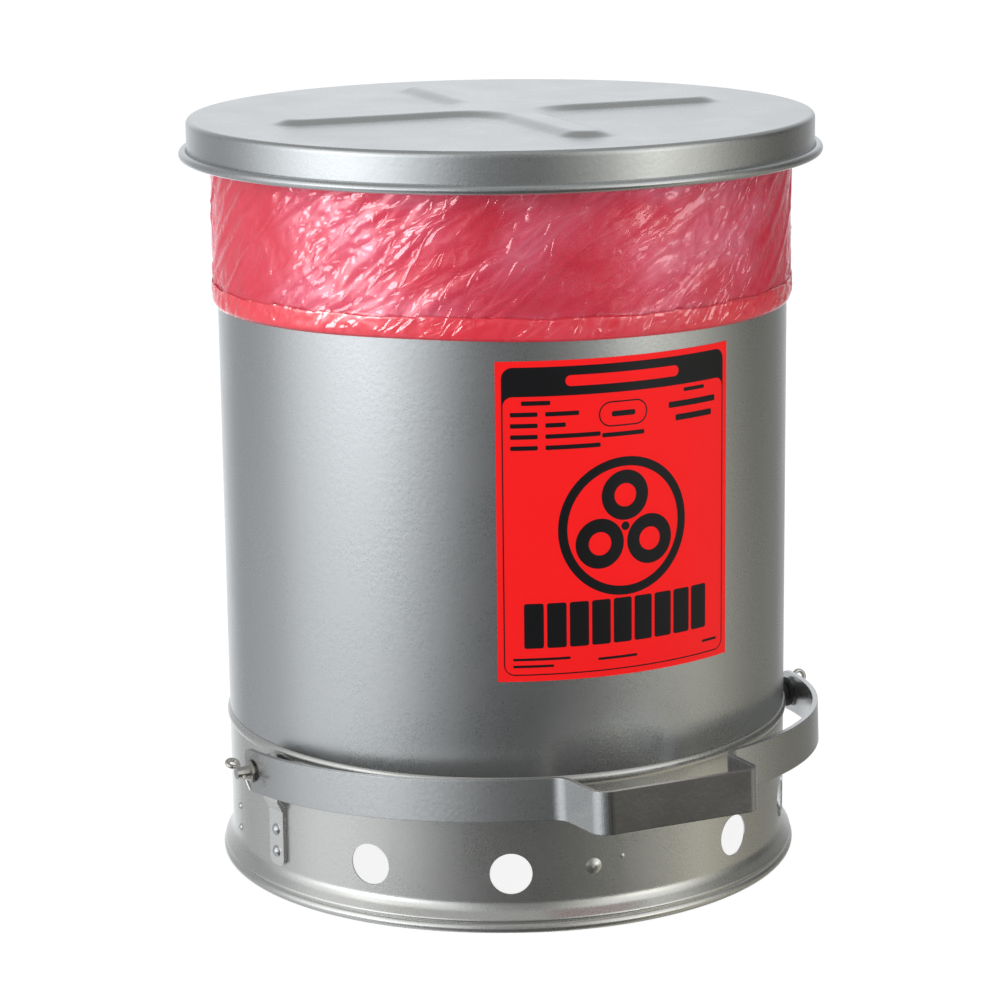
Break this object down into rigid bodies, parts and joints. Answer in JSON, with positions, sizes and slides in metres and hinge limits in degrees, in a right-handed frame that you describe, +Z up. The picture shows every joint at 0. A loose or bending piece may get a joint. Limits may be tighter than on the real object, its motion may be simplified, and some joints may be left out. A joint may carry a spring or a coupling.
{
  "type": "biohazard waste bin",
  "caption": "Round sheet-metal waste bin with a pedal hoop that lifts a hinged lid through a cross shaft, lift arm and push rod, with a film liner cuffed over the rim.",
  "frame": {"origin": "on the floor, on the vertical axis of the can, at the centre of the skirt's rolled foot ring", "axes": "+Z up; the pedal points to -Y and the lid hinge to +Y, so +X is to the right of someone standing at the pedal"},
  "size_m": [0.4053, 0.4704, 0.4722],
  "materials": {
    "silver_paint": "satin silver baked coating with a fine metallic mottle",
    "zinc_plate": "bright zinc plate",
    "dark_plastic": "matt moulded bearing plastic",
    "black_rubber": "matt sound-damping rubber ring",
    "label_red": "glossy printed vinyl",
    "label_black": "glossy printed vinyl",
    "film_red": "thin translucent wrinkled polyethylene film"
  },
  "bodies": {
    "can": {"body_shell": "silver_paint", "bottom_pan": "silver_paint", "base_skirt": "silver_paint", "pivot_bracket_left": "silver_paint", "pivot_bracket_right": "silver_paint", "bracket_rivets": "silver_paint", "side_rivets": "silver_paint", "shaft_bush_left": "dark_plastic", "shaft_bush_right": "dark_plastic", "hinge_bracket": "silver_paint", "hinge_bracket_rivets": "silver_paint", "hinge_pin": "zinc_plate", "hinge_pin_clip": "zinc_plate", "hinge_spacers": "zinc_plate", "rod_guide_upper": "silver_paint", "rod_guide_lower": "silver_paint", "guide_rivets": "silver_paint", "label": "label_red", "liner_bag": "film_red"},
    "pedal": {"pedal_strap": "silver_paint", "pedal_shaft": "zinc_plate", "pedal_washers": "zinc_plate", "cotter_pin_left": "zinc_plate", "cotter_pin_right": "zinc_plate", "lift_arm": "silver_paint", "lift_arm_pin": "zinc_plate"},
    "push_rod": {"push_rod": "zinc_plate", "rod_top_pad": "dark_plastic", "rod_collar": "zinc_plate", "rod_cotter": "zinc_plate"},
    "lid": {"lid_shell": "silver_paint", "lid_gasket": "black_rubber", "lid_hinge_leaf": "silver_paint", "lid_rivets": "silver_paint", "lug_pin": "zinc_plate"}
  },
  "joints": [
    {"name": "lid_hinge", "type": "hinge", "parent": "can", "child": "lid", "pos_m": [0, 0.218, 0.435], "axis": [-1, 0, 0], "range_deg": [0, 60]},
    {"name": "pedal_pivot", "type": "hinge", "parent": "can", "child": "pedal", "pos_m": [0, -0.038, 0.082], "axis": [1, 0, 0], "range_deg": [0, 7.5]},
    {"name": "rod_slide", "type": "slide", "parent": "can", "child": "push_rod", "axis": [0, 0, 1], "range_m": [0, 0.0301]}
  ],
  "couplings": [
    {"joint": "pedal_pivot", "follows": "lid_hinge", "ratio": 0.12378},
    {"joint": "rod_slide", "follows": "lid_hinge", "m_per_rad": 0.028648}
  ]
}
